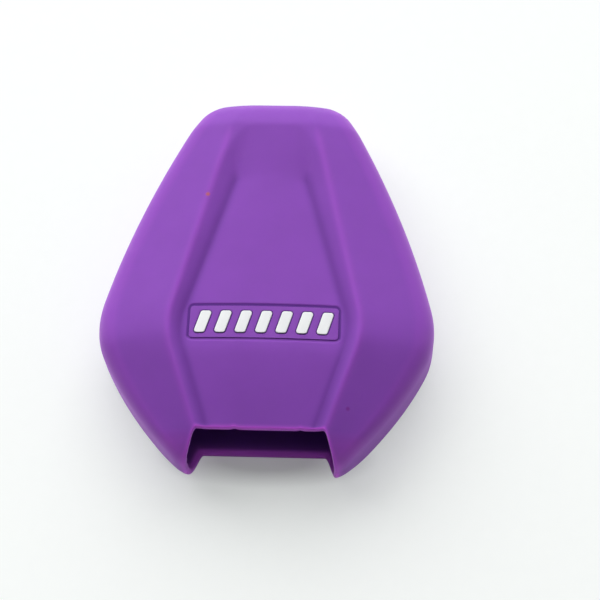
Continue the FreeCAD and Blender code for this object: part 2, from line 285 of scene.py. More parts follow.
def band_width(y):
    """Width of the sloping band between a ridge and the sunken panel."""
    top = (PANEL_TOP_SPAN / 2, PANEL_TOP_Y)
    crest = (PANEL_CREST_SPAN / 2, CREST_Y)
    return ridge_x(y) - bent_x(top, crest, (PANEL_LIP_SPAN / 2, LIP_Y), PANEL_BLEND, y)


def ramp_share(x, y):
    """How far down the ramp at the narrow end a point is: 1 at the panel's arched top edge."""
    return (RAMP_TOP_Y - y) / (RAMP_LENGTH + PANEL_ARCH * x**2)


def crease_x(y):
    """Half width of the panel's foot, or of the ramp further up."""
    down = np.clip(ramp_share(PANEL_TOP_SPAN / 2, y), 0.0, 1.0)
    return ridge_x(y) - np.maximum(band_width(y) * down, LEAST_BAND)


def falling_z(straight, start_y, height, drop, y):
    """A height that follows a straight line, then a falling curve from start_y to the mouth."""
    share = np.maximum((start_y - y) / (start_y - LIP_Y), 0.0)
    return smooth_min(straight, height - drop * share**FALL_POWER, CREST_SOFTNESS)


def tip_share(y):
    """How far a point is from the mouth's lips towards the tips beside them."""
    return np.maximum((LIP_Y - y) / NOTCH_DEPTH, 0.0)


def ridge_z(y):
    straight = RIDGE_FAR_HEIGHT + RIDGE_SLOPE * (RAMP_TOP_Y - y)
    body = falling_z(straight, CREST_Y, CREST_HEIGHT, CREST_HEIGHT - RIDGE_LIP_HEIGHT, y)
    past = soft_rise(y - RAMP_TOP_Y, END_SOFTNESS)
    return body - (END_FACET_SLOPE - RIDGE_SLOPE) * past - END_FACET_CURVE * past**2


def flat_panel_z(y):
    return RIDGE_FAR_HEIGHT + RIDGE_SLOPE * (RAMP_TOP_Y - y) - PANEL_DEPTH


def panel_z(y):
    top = flat_panel_z(BEND_Y)
    return falling_z(flat_panel_z(y), BEND_Y, top, top - RIDGE_LIP_HEIGHT + PANEL_LIP_DEPTH, y)


def panel_fall(x, y):
    """How far the crowned panel falls from its middle towards its creases: nothing at the mouth."""
    crown = PANEL_CROWN * share_along(LIP_Y, BEND_Y, y)
    return crown * np.minimum(np.abs(x) / crease_x(y), 1.0) ** 2


def rounded_rectangle_distance(x, y, width, height, radius):
    """Distance outside a rounded rectangle about the origin, less than nothing inside it."""
    across = np.abs(x) - width / 2 + radius
    along = np.abs(y) - height / 2 + radius
    outside = np.hypot(np.maximum(across, 0.0), np.maximum(along, 0.0))
    return outside + np.minimum(np.maximum(across, along), 0.0) - radius


def facet_slope(y):
    """Slope of the facets beside the ridges, steeper from the ramp down to the crest."""
    down = share_along(RAMP_TOP_Y, CREST_Y, y)
    return FAR_FACET_SLOPE + (NEAR_FACET_SLOPE - FAR_FACET_SLOPE) * down


def back_z(x, y):
    """Height of the back: facets that fall from the ridges, less the sunken panel."""
    out = np.abs(x) - ridge_x(y)
    past_ramp = share_along(RAMP_TOP_Y, END_Y, y)
    rounding = RIDGE_SOFTNESS + RIDGE_END_SOFTNESS * past_ramp
    roof = ridge_z(y) - facet_slope(y) * soft_rise(out, rounding)
    up_band = soft_rise(1 + out / band_width(y), CREASE_SOFTNESS)
    up_ramp = soft_rise(1 - ramp_share(x, y), RAMP_SOFTNESS)
    up = np.hypot(up_band, up_ramp) + TINY
    on_band = (up_band / up) ** 2
    softness = RAMP_SHOULDER_SOFTNESS + (SHOULDER_SOFTNESS - RAMP_SHOULDER_SOFTNESS) * on_band
    share = soft_rise(1 - up, softness)
    sunk = ridge_z(y) - panel_z(y) + panel_fall(x, y)
    return roof - share * sunk - TIP_DROP * tip_share(y) ** 2


def front_z(x, y):
    """Height of the front: flat, with facets that rise to the sides and lift towards the tips."""
    out = np.abs(x) - (outline_x(y) - FRONT_FACET_WIDTH)
    return FRONT_FACET_SLOPE * soft_rise(out, FRONT_FACET_SOFTNESS) + TIP_LIFT * tip_share(y) ** 2


def pocket_depth(x, y):
    """Depth of the badge's pocket under the panel."""
    width, height = BADGE_WIDTH + 2 * BADGE_GROOVE, BADGE_HEIGHT + 2 * BADGE_GROOVE
    radius = BADGE_CORNER_RADIUS + BADGE_GROOVE
    off = rounded_rectangle_distance(x, y - BADGE_Y, width, height, radius)
    share = np.clip(0.5 - off / POCKET_WALL, 0.0, 1.0)
    return BADGE_SINK * share**2 * (3 - 2 * share)


def cap_inset(y, depth):
    """How far the rounding of the narrow end and of the tips draws a cross-section in."""
    end_radius = END_RADIUS - depth
    into_end = np.clip(y - (END_Y - END_RADIUS), 0.0, end_radius)
    into_tip = np.clip(TIPS_Y + TIP_RADIUS - y, 0.0, TIP_RADIUS)
    end = end_radius - np.sqrt(end_radius**2 - into_end**2)
    return end + TIP_RADIUS - np.sqrt(TIP_RADIUS**2 - into_tip**2)


def steps(count, power=1.0):
    """Shares from 0 up to, but without, 1."""
    return np.linspace(0.0, 1.0, count, endpoint=False) ** power


# Columns of the sleeve's grid, from the middle of the back over the side to the middle of the
# front, as shares along each stretch of the cross-section.
COARSE_SHARE = 0.9
COLUMNS = {
    "panel": np.concatenate([COARSE_SHARE * steps(22), COARSE_SHARE + (1 - COARSE_SHARE) * steps(14)]),
    "band": steps(11),
    "facet": steps(18, 1.3),
    "back_bend": steps(15),
    "side": steps(3),
    "front_bend": steps(12),
    "front_facet": steps(9),
    "flat": steps(4),
    "window": np.linspace(0.0, 1.0, 15),
}
BACK_STRETCHES = ("panel", "band", "facet")
FRONT_STRETCHES = ("front_bend", "front_facet", "flat", "window")
BACK_COLUMNS = sum(len(COLUMNS[name]) for name in BACK_STRETCHES)
COLUMN_COUNT = sum(len(shares) for shares in COLUMNS.values())
RING_COUNT = 2 * COLUMN_COUNT - 2
FRAME_COLUMN = COLUMN_COUNT - len(COLUMNS["window"])
FRAME_SHARE = 0.92
SLOPE_STEP = 0.05

# Rows of the sleeve's grid.
CAP_ROWS = 11
MOUTH_ROWS = 30
MOUTH_ROW_POWER = 1.25
MOUTH_TRIALS = 400
MOUTH_SEARCH = 2.0
ROW_SPACING = 0.45


def column_stretches():
    """Each stretch's name, its columns in the grid and its shares."""
    start = 0
    for name, shares in COLUMNS.items():
        yield name, slice(start, start + len(shares)), shares[None, :]
        start += len(shares)


def pad_place(name):
    """Middle, half sizes and lowest and highest level of a pad."""
    low, high = box_mm(f"{name}_pad")
    return (low[:2] + high[:2]) / 2, (high[:2] - low[:2]) / 2, low[2], high[2]


def window_half_sizes():
    return pad_place("lock")[1] + WEB_WIDTH


def bend(points, share):
    """x and z along a smooth bend from the first to the last of four steering points."""
    rest = 1 - share
    weights = (rest**3, 3 * rest**2 * share, 3 * rest * share**2, share**3)
    x, z = (sum(weight * point[axis] for weight, point in zip(weights, points)) for axis in (0, 1))
    return x, z


def below_hips(y):
    """How far a point is from the hips towards the mouth's lips."""
    return share_along(HIP_Y, LIP_Y, y)


def section_edges(y, depth):
    """Steering points, at y, of the bends over the back edge and under the front edge."""
    inward = depth + cap_inset(y, depth)
    half = outline_x(y) - inward
    back_reach = BACK_EDGE_REACH + (MOUTH_EDGE_REACH - BACK_EDGE_REACH) * below_hips(y)
    back_drop = BACK_EDGE_DROP + (MOUTH_EDGE_DROP - BACK_EDGE_DROP) * below_hips(y)
    back_x = np.maximum(half - np.maximum(back_reach - inward, LEAST_REACH), ridge_x(y) + LEAST_REACH)
    back_x = np.minimum(back_x, half - LEAST_REACH)
    back_height = back_z(back_x, y) - inward
    slope = (back_z(back_x + SLOPE_STEP, y) - back_z(back_x - SLOPE_STEP, y)) / (2 * SLOPE_STEP)
    back_corner = back_height + slope * (half - back_x)
    front_x = half - np.maximum(FRONT_EDGE_REACH - inward, LEAST_REACH)
    front_height = front_z(front_x, y) + inward
    front_corner = front_height + FRONT_FACET_SLOPE * (half - front_x)
    room = (back_corner - front_corner) / 2
    drop = np.minimum(np.maximum(back_drop - inward, LEAST_REACH), room)
    rise = np.minimum(np.maximum(FRONT_EDGE_RISE - inward, LEAST_REACH), FRONT_ROOM_SHARE * room)
    back_pull, front_pull = EDGE_PULL * (half - back_x), EDGE_PULL * (half - front_x)
    back = (
        (back_x, back_height),
        (back_x + back_pull, back_height + slope * back_pull),
        (half, back_corner - (1 - EDGE_PULL) * drop),
        (half, back_corner - drop),
    )
    front = (
        (half, front_corner + rise),
        (half, front_corner + (1 - EDGE_PULL) * rise),
        (front_x + front_pull, front_height + FRONT_FACET_SLOPE * front_pull),
        (front_x, front_height),
    )
    return back, front


def sleeve_surface(y, depth):
    """x and z of the right half of the sleeve's skin, depth inside it, at y for every column."""
    x_grid, z_grid = np.zeros_like(y), np.zeros_like(y)
    for name, columns, share in column_stretches():
        here = y[:, columns]
        inward = depth + cap_inset(here, depth)
        back, front = section_edges(here, depth)
        ridge = np.minimum(ridge_x(here), back[0][0] - LEAST_REACH / 2)
        crease = np.minimum(crease_x(here), ridge - LEAST_REACH / 2)
        flat_edge = np.minimum(outline_x(here) - FRONT_FACET_WIDTH, front[3][0] - LEAST_REACH / 2)
        frame_x = np.minimum(window_half_sizes()[0] + WINDOW_FRAME, FRAME_SHARE * flat_edge)
        stops = {
            "panel": (0.0, crease),
            "band": (crease, ridge),
            "facet": (ridge, back[0][0]),
            "front_facet": (front[3][0], flat_edge),
            "flat": (flat_edge, frame_x),
            "window": (frame_x, 0.0),
        }
        if name == "back_bend":
            x, z = bend(back, share)
        elif name == "side":
            x, z = (a + share * (b - a) for a, b in zip(back[3], front[0]))
        elif name == "front_bend":
            x, z = bend(front, share)
        else:
            start, end = stops[name]
            x = start + share * (end - start)
            if name in BACK_STRETCHES:
                z = back_z(x, here) - inward - (0.0 if depth else pocket_depth(x, here))
            else:
                z = front_z(x, here) + inward
        x_grid[:, columns] = x
        z_grid[:, columns] = z
    return x_grid, z_grid


def notch_y(x):
    """Edge of the mouth's notch in plan: across the lip, then out along its flare."""
    flare = soft_rise(np.abs(x) - NOTCH_WIDTH / 2, NOTCH_CORNER)
    return LIP_Y - flare * NOTCH_DEPTH / NOTCH_FLARE


def lip_nicks(x):
    """Small nicks that the trimming left in the upper lip."""
    return sum(depth * np.exp(-(((x - middle) / half) ** 2)) for middle, half, depth in LIP_NICKS)


def mouth_ends(depth, side):
    """Where each column of one side's skin meets the notch, or the tips."""
    places = np.linspace(LIP_Y + MOUTH_SEARCH, TIPS_Y, MOUTH_TRIALS)
    trial = places[:, None] * np.ones((1, COLUMN_COUNT))
    x, _ = sleeve_surface(trial, depth)
    inside = trial - notch_y(x)
    inside[:, :BACK_COLUMNS] -= lip_nicks(side * x[:, :BACK_COLUMNS])
    ends = np.full(COLUMN_COUNT, TIPS_Y)
    for column in range(COLUMN_COUNT):
        crossed = np.nonzero(inside[:, column] <= 0)[0]
        if len(crossed):
            row = crossed[0]
            before, after = inside[row - 1, column], inside[row, column]
            share = before / (before - after)
            ends[column] = places[row - 1] + share * (places[row] - places[row - 1])
    return ends


def pad_middles():
    """Middle of each pad along the cover, nearest the mouth first."""
    return [float(pad_place(name)[0][1]) for name in PAD_NAMES]


def body_rows():
    """Places of the straight rows between the narrow end's rounding and the mouth."""
    middles = pad_middles()
    half_pitch = (middles[1] - middles[0]) / 2
    cells = [middles[0] - half_pitch] + [middle + half_pitch for middle in middles]
    groove = BADGE_HEIGHT / 2 + BADGE_GROOVE
    edges = [BADGE_Y + groove, BADGE_Y - groove]
    stops = [END_Y - END_RADIUS, RAMP_TOP_Y, cells[3], PANEL_TOP_Y, cells[2], cells[1]]
    stops += [edge + side * POCKET_WALL for edge in edges for side in (1, -1)]
    stops.append(cells[0])
    rows = []
    for start, end in zip(stops, stops[1:]):
        spacing = POCKET_WALL / 3 if abs(start - end) < 3 * POCKET_WALL else ROW_SPACING
        rows += list(start + (end - start) * steps(max(1, math.ceil((start - end) / spacing))))
    return np.array(rows + [cells[0]]), cells


def sleeve_grid(depth, rows):
    """Points of the skin, depth inside it, as rows from the narrow end to the mouth."""
    end_radius = END_RADIUS - depth
    turns = math.pi / 2 * (1 - steps(CAP_ROWS))
    cap = END_Y - END_RADIUS + end_radius * np.sin(turns)
    straight = np.concatenate([cap, rows])[:, None] * np.ones((1, COLUMN_COUNT))
    share = (1 - (1 - np.linspace(0, 1, MOUTH_ROWS + 1)[1:]) ** MOUTH_ROW_POWER)[:, None]
    halves = []
    for side in (1.0, -1.0):
        ends = mouth_ends(depth, side)[None, :]
        to_mouth = rows[-1] + share * (ends + (RIM_INNER_EDGE if depth else RIM_EDGE) - rows[-1])
        y = np.concatenate([straight, to_mouth, ends])
        x, z = sleeve_surface(y, depth)
        halves.append(np.stack([side * x, y, z], axis=2))
    right, left = halves
    return np.concatenate([right, left[:, -2:0:-1]], axis=1)


def rounded_rectangle_hits(directions, half_width, half_length, radius):
    """Where rays from the middle meet a rounded rectangle, and the outward normals there."""
    signs = np.where(directions < 0, -1.0, 1.0)
    d = np.abs(directions) / np.linalg.norm(directions, axis=1)[:, None]
    d = np.maximum(d, TINY)
    centre = np.array([half_width - radius, half_length - radius])
    along = d @ centre
    reach = along + np.sqrt(np.maximum(along**2 - centre @ centre + radius**2, 0.0))
    on_side = half_width * d[:, 1] / d[:, 0] <= centre[1]
    on_end = half_length * d[:, 0] / d[:, 1] <= centre[0]
    reach = np.where(on_side, half_width / d[:, 0], np.where(on_end, half_length / d[:, 1], reach))
    points = d * reach[:, None]
    normals = (points - centre) / radius
    normals[on_side] = (1.0, 0.0)
    normals[on_end] = (0.0, 1.0)
    return points * signs, normals * signs


PAINTED_SHADING_LAYER = "painted_shading"
CAP_SHARES = (0.72, 0.45, 0.2)


def in_scene(name, data):
    """A new object in the scene."""
    made = bpy.data.objects.new(name, data)
    bpy.context.scene.collection.objects.link(made)
    return made


def write_mesh(bm, mesh, smooth=True):
    """Turns the faces outward and writes them into a mesh."""
    bmesh.ops.recalc_face_normals(bm, faces=bm.faces)
    for face in bm.faces:
        face.smooth = smooth
    bm.to_mesh(mesh)
    bm.free()


class MeshMaker:
    """Collects points and faces, in millimetres, and makes one mesh object of them."""

    def __init__(self):
        self.points = []
        self.painted_shading_values = []
        self.faces = []

    def add(self, points, painted_shading=0.0):
        """Adds points and gives their numbers, in an array of the points' shape."""
        points = np.asarray(points, float)
        start = len(self.points)
        flat = points.reshape(-1, 3)
        self.points.extend(flat.tolist())
        self.painted_shading_values.extend((painted_shading * np.ones(points.shape[:-1])).ravel().tolist())
        return np.arange(start, start + len(flat)).reshape(points.shape[:-1])

    def add_loop(self, loop, z):
        """Adds a flat loop at a height."""
        return self.add(np.column_stack([loop, np.full(len(loop), z)]))

    def strip(self, first, second, gap=()):
        """Joins two closed rows of numbers by quads, apart from a gap's columns."""
        for i in range(len(first)):
            j = (i + 1) % len(first)
            if i not in gap:
                self.faces.append((first[i], first[j], second[j], second[i]))

    def cap(self, ring, shares=CAP_SHARES):
        """Closes a flat ring by smaller rings and a fan."""
        corners = np.array([self.points[i] for i in ring])
        middle = corners.mean(axis=0)
        last = ring
        for share in shares:
            inner = self.add(middle + (corners - middle) * share)
            self.strip(last, inner)
            last = inner
        hub = self.add(middle[None, :])[0]
        for i in range(len(last)):
            self.faces.append((last[i], last[(i + 1) % len(last)], hub))

    def object(self, name, smooth=True):
        mesh = bpy.data.meshes.new(name)
        bm = bmesh.new()
        # Painted light and shade for each point, read by the silicone's colour.
        layer = bm.verts.layers.float.new(PAINTED_SHADING_LAYER)
        vertices = [bm.verts.new(Vector(p) * MM) for p in self.points]
        for vertex, painted_shading in zip(vertices, self.painted_shading_values):
            vertex[layer] = painted_shading
        for face in self.faces:
            bm.faces.new([vertices[i] for i in face])
        loose = [v for v in bm.verts if not v.link_faces]
        bmesh.ops.delete(bm, geom=loose, context="VERTS")
        write_mesh(bm, mesh, smooth)
        return in_scene(name, mesh)


def quarter_round(radius, count):
    """How far in and how far up the points of a rounded edge lie, from its face to its wall."""
    turns = np.linspace(0.0, math.pi / 2, count)
    return [(radius * (1 - math.sin(t)), radius * (1 - math.cos(t))) for t in turns]


def window_rim(maker, outer, inner, middle_y):
    """Joins the grid round a pad's window to the window's rounded edges and walls."""
    corners = np.array([maker.points[i] for i in outer])
    middle = np.array([0.0, middle_y])
    radius = PAD_CORNER_RADIUS + WEB_WIDTH
    hits, normals = rounded_rectangle_hits(corners[:, :2] - middle, *window_half_sizes(), radius)
    edge = quarter_round(WINDOW_EDGE, WINDOW_EDGE_STEPS)
    last = outer
    for growth, z in edge + [(growth, WALL - z) for growth, z in reversed(edge)]:
        row = maker.add_loop(hits + middle + normals * growth, z)
        maker.strip(last, row)
        last = row
    maker.strip(last, inner)


def rim_painted_highlight():
    """Painted highlight on the mouth's cut edge: most at the upper lip, less beside it."""
    return PRONG_PAINTED_HIGHLIGHT + (1 - PRONG_PAINTED_HIGHLIGHT) * marked(("panel", "band"))


def lower_lip_painted_light():
    """Painted light on the mouth's lower lip: one number per column."""
    return LOWER_LIP_PAINTED_LIGHT * marked(FRONT_STRETCHES)


def mouth_fade(grid, reach):
    """1 at the mouth's cut edge, fading to 0 at a reach along the skin."""
    along = grid[:, :, 1] - grid[-1:, :, 1]
    return share_along(reach, 0.0, along) ** 2


def column_levels(levels, power):
    """Numbers for every column of the ring, from the levels at the ends of some stretches."""
    half = np.zeros(COLUMN_COUNT)
    for name, columns, share in column_stretches():
        start, end = levels.get(name, (0.0, 0.0))
        half[columns] = start + (end - start) * share[0] ** power
    return np.concatenate([half, half[-2:0:-1]])


def wall_painted_light():
    """Painted light round the walls, standing in for light that passes through the skin: one number
    per column.
    """
    return WALL_PAINTED_LIGHT * column_levels(WALL_LEVELS, WALL_LEVEL_POWER)


def lower_edge_painted_light(grid):
    """Painted light along the edges below the hips and on the tips, where the skin is lit from behind.
    """
    y = grid[:, :, 1]
    on_tips = share_along(0.0, TIP_PAINTED_LIGHT_SHARE, tip_share(y))
    edges = column_levels({"facet": (0.0, 1.0), "back_bend": (1.0, 0.0)}, LOWER_EDGE_POWER)
    tips = marked(BACK_STRETCHES) + column_levels({"back_bend": (1.0, 0.0)}, TIP_EDGE_POWER)
    return LOWER_EDGE_PAINTED_LIGHT * below_hips(y) * edges + TIP_PAINTED_LIGHT * on_tips * tips


def marked(stretches):
    """1 for the columns of the named stretches, and 0 for the others."""
    return column_levels({name: (1.0, 1.0) for name in stretches}, 1.0)


def back_painted_shading(grid):
    """Painted highlights on the ridges, and painted shade in the creases and the badge groove, on the
    back's part of the skin.
    """
    x, y = np.abs(grid[:, :, 0]), grid[:, :, 1]
    down = ramp_share(x, y)
    on_panel_row = share_along(PANEL_ROW_SHARE, 1.0, down)
    off_ridge, off_crease = x - ridge_x(y), x - crease_x(y)
    crease_width = np.where(off_crease < 0, CREASE_PANEL_WIDTH, CREASE_BAND_WIDTH)
    pale = RIDGE_PAINTED_HIGHLIGHT * np.exp(-((off_ridge / RIDGE_HIGHLIGHT_WIDTH) ** 2))
    pale = pale * np.clip(down * RIDGE_HIGHLIGHT_RISE, 0.0, 1.0)
    crease = CREASE_PAINTED_SHADE * np.exp(-((off_crease / crease_width) ** 2)) * on_panel_row
    # Painted shade in the badge groove, weaker below the plate.
    groove = np.where(y < BADGE_Y - BADGE_HEIGHT / 2, LOW_GROOVE_PAINTED_SHADE, GROOVE_PAINTED_SHADE)
    dark = np.maximum(crease, groove * pocket_depth(x, y) / BADGE_SINK)
    return (pale - dark) * marked(BACK_STRETCHES)


def make_sleeve():
    """The moulding: outer skin, inner skin, the rounded rim of the mouth and the pads' windows."""
    maker = MeshMaker()
    rows, cells = body_rows()
    grids = [sleeve_grid(depth, rows) for depth in (0.0, WALL)]
    # Painted highlight on the mouth's cut edge, painted highlights and shade on the back, painted
    # light on walls and lower edges.
    painted_shading = rim_painted_highlight() * mouth_fade(grids[0], RIM_FADE) + back_painted_shading(grids[0])
    outer = maker.add(grids[0], painted_shading + wall_painted_light() + lower_edge_painted_light(grids[0]))
    # Painted light on the lower lip, and painted shade over the rest of the inside.
    inside_painted_shading = lower_lip_painted_light() * mouth_fade(grids[1], LOWER_LIP_FADE) - INSIDE_PAINTED_SHADE
    inner = maker.add(grids[1], inside_painted_shading)
    row_y = np.array([maker.points[i][1] for i in outer[:, 0]])
    cell_rows = [int(np.argmin(np.abs(row_y - y))) for y in cells]
    left_frame = RING_COUNT - FRAME_COLUMN
    window_columns = range(FRAME_COLUMN, left_frame)
    for skin in (outer, inner):
        for row in range(len(skin) - 2):
            in_cells = cell_rows[3] <= row < cell_rows[0]
            maker.strip(skin[row], skin[row + 1], window_columns if in_cells else ())
        maker.cap(skin[0])
    for near, far, middle_y in zip(cell_rows, cell_rows[1:], pad_middles()):
        loop = [(far, c) for c in window_columns]
        loop += [(r, left_frame) for r in range(far, near)]
        loop += [(near, c) for c in range(left_frame, FRAME_COLUMN, -1)]
        loop += [(r, FRAME_COLUMN) for r in range(near, far, -1)]
        window_rim(maker, [outer[r, c] for r, c in loop], [inner[r, c] for r, c in loop], middle_y)
    make_mouth_rim(maker, outer, inner)
    return maker.object("sleeve_skin")


def make_mouth_rim(maker, outer, inner):
    """The cut edge round the mouth, rounded where it meets the outer and the inner skin."""
    points = np.array(maker.points)
    out_before, out_edge = points[outer[-2]], points[outer[-1]]
    in_before, in_edge = points[inner[-2]], points[inner[-1]]
    across = in_edge - out_edge
    across /= np.linalg.norm(across, axis=1)[:, None]
    in_edge = out_edge + across * RIM_WALL
    out_after, in_after = out_edge + across * RIM_EDGE, in_edge - across * RIM_EDGE
    rows = []
    for s in (*RIM_SHARES, 1.0):
        rows.append((1 - s) ** 2 * out_before + 2 * s * (1 - s) * out_edge + s**2 * out_after)
    rows.append((out_after + in_after) / 2)
    for s in (0.0, *RIM_SHARES):
        rows.append((1 - s) ** 2 * in_after + 2 * s * (1 - s) * in_edge + s**2 * in_before)
    last = outer[-2]
    # Painted highlight along the cut edge, weaker towards the inner skin, and painted light on the
    # lower lip.
    for row, painted_shading in zip(rows, np.linspace(1.0, RIM_INNER_PAINTED_HIGHLIGHT, len(rows))):
        numbers = maker.add(row, np.maximum(painted_shading * rim_painted_highlight(), lower_lip_painted_light()))
        maker.strip(last, numbers)
        last = numbers
    maker.strip(last, inner[-2])


def arc(middle, radius, start, end, count=ARC_STEPS):
    """Points along an arc, its angles in degrees."""
    turns = np.radians(np.linspace(start, end, count + 1))
    return [(middle[0] + radius * math.cos(t), middle[1] + radius * math.sin(t)) for t in turns]


def rounded_loop(half_width, half_length, radius, count=LOOP_CORNER_STEPS):
    """Points round a rounded rectangle about the origin, as many for every size."""
    points = []
    for quarter, (sx, sy) in enumerate(((1, 1), (-1, 1), (-1, -1), (1, -1))):
        corner = (sx * (half_width - radius), sy * (half_length - radius))
        points += arc(corner, radius, 90 * quarter, 90 * (quarter + 1), count)
    return np.array(points)


def loop_rings(maker, name, profile):
    """Adds and joins loops about a pad: its outline grown, then shrunk to a share, at a height."""
    middle, half_sizes, _, _ = pad_place(name)
    rings = []
    for growth, share, z in profile:
        loop = rounded_loop(*(half_sizes + growth), PAD_CORNER_RADIUS + growth)
        rings.append(maker.add_loop(loop * share + middle, z))
    for first, second in zip(rings, rings[1:]):
        maker.strip(first, second)
    return rings


def make_pad(name):
    """A press pad: a softly dished face, rounded edges and a flat back."""
    _, _, low, high = pad_place(name)
    edge = quarter_round(PAD_EDGE, PAD_EDGE_STEPS)
    profile = [(-PAD_EDGE, share, low + PAD_DISH * (1 - share**2)) for share in PAD_FACE_SHARES]
    profile += [(-inset, 1.0, low + rise) for inset, rise in edge]
    profile += [(-inset, 1.0, high - rise) for inset, rise in reversed(edge)]
    maker = MeshMaker()
    rings = loop_rings(maker, name, profile)
    maker.cap(rings[0], ())
    maker.cap(rings[-1])
    return maker.object(f"{name}_pad_skin")


def make_web(name):
    """The thin skirt that hangs a pad in its window: a soft S from the pad up to the wall."""
    rise = WEB_WALL_LEVEL - WEB_PAD_LEVEL
    shares = np.linspace(0.0, 1.0, WEB_STEPS)
    lower = [(t * WEB_WIDTH, 1.0, WEB_PAD_LEVEL + rise * t**2 * (3 - 2 * t)) for t in shares]
    upper = [(growth, share, z + WEB_THICKNESS) for growth, share, z in reversed(lower)]
    maker = MeshMaker()
    rings = loop_rings(maker, name, lower + upper)
    maker.strip(rings[-1], rings[0])
    return maker.object(f"{name}_web_skin")


# Flat pieces: merging distance, angle above which edges stay sharp, steps round edges and corners,
# and spacing of points along long edges.
SLAB_MERGE = 0.002
SLAB_SHARP_ANGLE = 35
SLAB_EDGE_STEPS = 3
POLYGON_CORNER_STEPS = 6
OUTLINE_STEP = 0.6


def slab(name, outlines, low, high, edge):
    """A flat piece with rounded edges from z low to high, on closed outlines that may hold holes."""
    curve = bpy.data.curves.new(name, "CURVE")
    curve.dimensions = "2D"
    curve.fill_mode = "BOTH"
    curve.extrude = (high - low) / 2 - edge
    curve.bevel_depth = edge
    curve.bevel_resolution = SLAB_EDGE_STEPS
    curve.offset = -edge
    for outline in outlines:
        spline = curve.splines.new("POLY")
        spline.points.add(len(outline) - 1)
        for point, (x, y) in zip(spline.points, outline):
            point.co = (x, y, 0.0, 1.0)
        spline.use_cyclic_u = True
    drawn = bpy.data.objects.new(f"{name}.curve", curve)
    mesh = bpy.data.meshes.new_from_object(drawn)
    bpy.data.objects.remove(drawn)
    bm = bmesh.new()
    bm.from_mesh(mesh)
    bmesh.ops.remove_doubles(bm, verts=bm.verts, dist=SLAB_MERGE)
    write_mesh(bm, mesh)
    mesh.set_sharp_from_angle(angle=math.radians(SLAB_SHARP_ANGLE))
    mesh.transform(Matrix.Scale(MM, 4) @ Matrix.Translation((0.0, 0.0, (low + high) / 2)))
    return in_scene(name, mesh)


def rounded_polygon(corners, radius):
    """Points round a convex outline with its corners rounded."""
    points = []
    count = len(corners)
    for i, corner in enumerate(corners):
        here = np.array(corner, float)
        before = np.array(corners[i - 1]) - here
        after = np.array(corners[(i + 1) % count]) - here
        before /= np.linalg.norm(before)
        after /= np.linalg.norm(after)
        half_angle = math.acos(float(np.clip(before @ after, -1, 1))) / 2
        middle = (before + after) / np.linalg.norm(before + after)
        centre = here + middle * radius / math.sin(half_angle)
        start = here + before * radius / math.tan(half_angle) - centre
        end = here + after * radius / math.tan(half_angle) - centre
        whole_turn = math.pi - 2 * half_angle
        ahead = (end - start * math.cos(whole_turn)) / math.sin(whole_turn)
        for turn in np.linspace(0.0, whole_turn, POLYGON_CORNER_STEPS + 1):
            points.append(tuple(centre + start * math.cos(turn) + ahead * math.sin(turn)))
    return points


def dense(outline):
    """The same outline with points added along its long edges."""
    points = []
    for start, end in zip(outline, outline[1:] + outline[:1]):
        pieces = max(1, math.ceil(math.dist(start, end) / OUTLINE_STEP))
        along = np.array(end) - np.array(start)
        points += [tuple(np.array(start) + share * along) for share in steps(pieces)]
    return points


def bar_outline(index, growth):
    """One leaning bar of the badge, grown by a margin on every side."""
    x = (index - (BAR_COUNT - 1) / 2) * BAR_PITCH
    half_width, half_length = BAR_WIDTH / 2 + growth, BAR_LENGTH / 2 + growth
    lean = BAR_LEAN * half_length / BAR_LENGTH
    corners = [
        (x - half_width - lean, -half_length),
        (x + half_width - lean, -half_length),
        (x + half_width + lean, half_length),
        (x - half_width + lean, half_length),
    ]
    return rounded_polygon(corners, BAR_WIDTH / 4 + growth)


def on_panel(piece):
    """Lays a badge piece, made flat at the origin, on the slope and the crown of the sunken panel.

    The piece is first cut across its width, so that its wide faces can follow the crown.
    """
    bm = bmesh.new()
    bm.from_mesh(piece.data)
    for x in np.arange(-BADGE_WIDTH / 2, BADGE_WIDTH / 2, CROWN_STEP)[1:]:
        everything = bm.verts[:] + bm.edges[:] + bm.faces[:]
        middle = (x * MM, 0.0, 0.0)
        bmesh.ops.bisect_plane(bm, geom=everything, plane_co=middle, plane_no=(1.0, 0.0, 0.0))
    bm.to_mesh(piece.data)
    bm.free()
    tilt = Matrix.Rotation(-math.atan(RIDGE_SLOPE), 4, "X")
    place = Matrix.Translation((0.0, BADGE_Y * MM, flat_panel_z(BADGE_Y) * MM))
    piece.data.transform(place @ tilt)
    for vertex in piece.data.vertices:
        vertex.co.z -= float(panel_fall(vertex.co.x / MM, vertex.co.y / MM)) * MM
    return piece


def make_badge():
    half_width, half_height = BADGE_WIDTH / 2, BADGE_HEIGHT / 2
    rim = dense([tuple(p) for p in rounded_loop(half_width, half_height, BADGE_CORNER_RADIUS)])
    holes = [bar_outline(i, BAR_GAP) for i in range(BAR_COUNT)]
    plate = on_panel(slab("badge_plate_skin", [rim] + holes, -BADGE_SINK, 0.0, PLATE_EDGE))
    bars = [bar_outline(i, 0.0) for i in range(BAR_COUNT)]
    marks = on_panel(slab("badge_bars_skin", bars, -BADGE_SINK, BAR_PROUD, BAR_EDGE))
    return plate, marks


def rounded_bar(half_width, half_height, radius, y):
    """Points round a bar at y, from the left end of its top edge round below to the right end."""
    loop = rounded_loop(half_width, half_height, radius, ICON_CORNER_STEPS) + (0.0, y)
    return [tuple(point) for point in np.roll(loop, -ICON_CORNER_STEPS - 1, axis=0)]


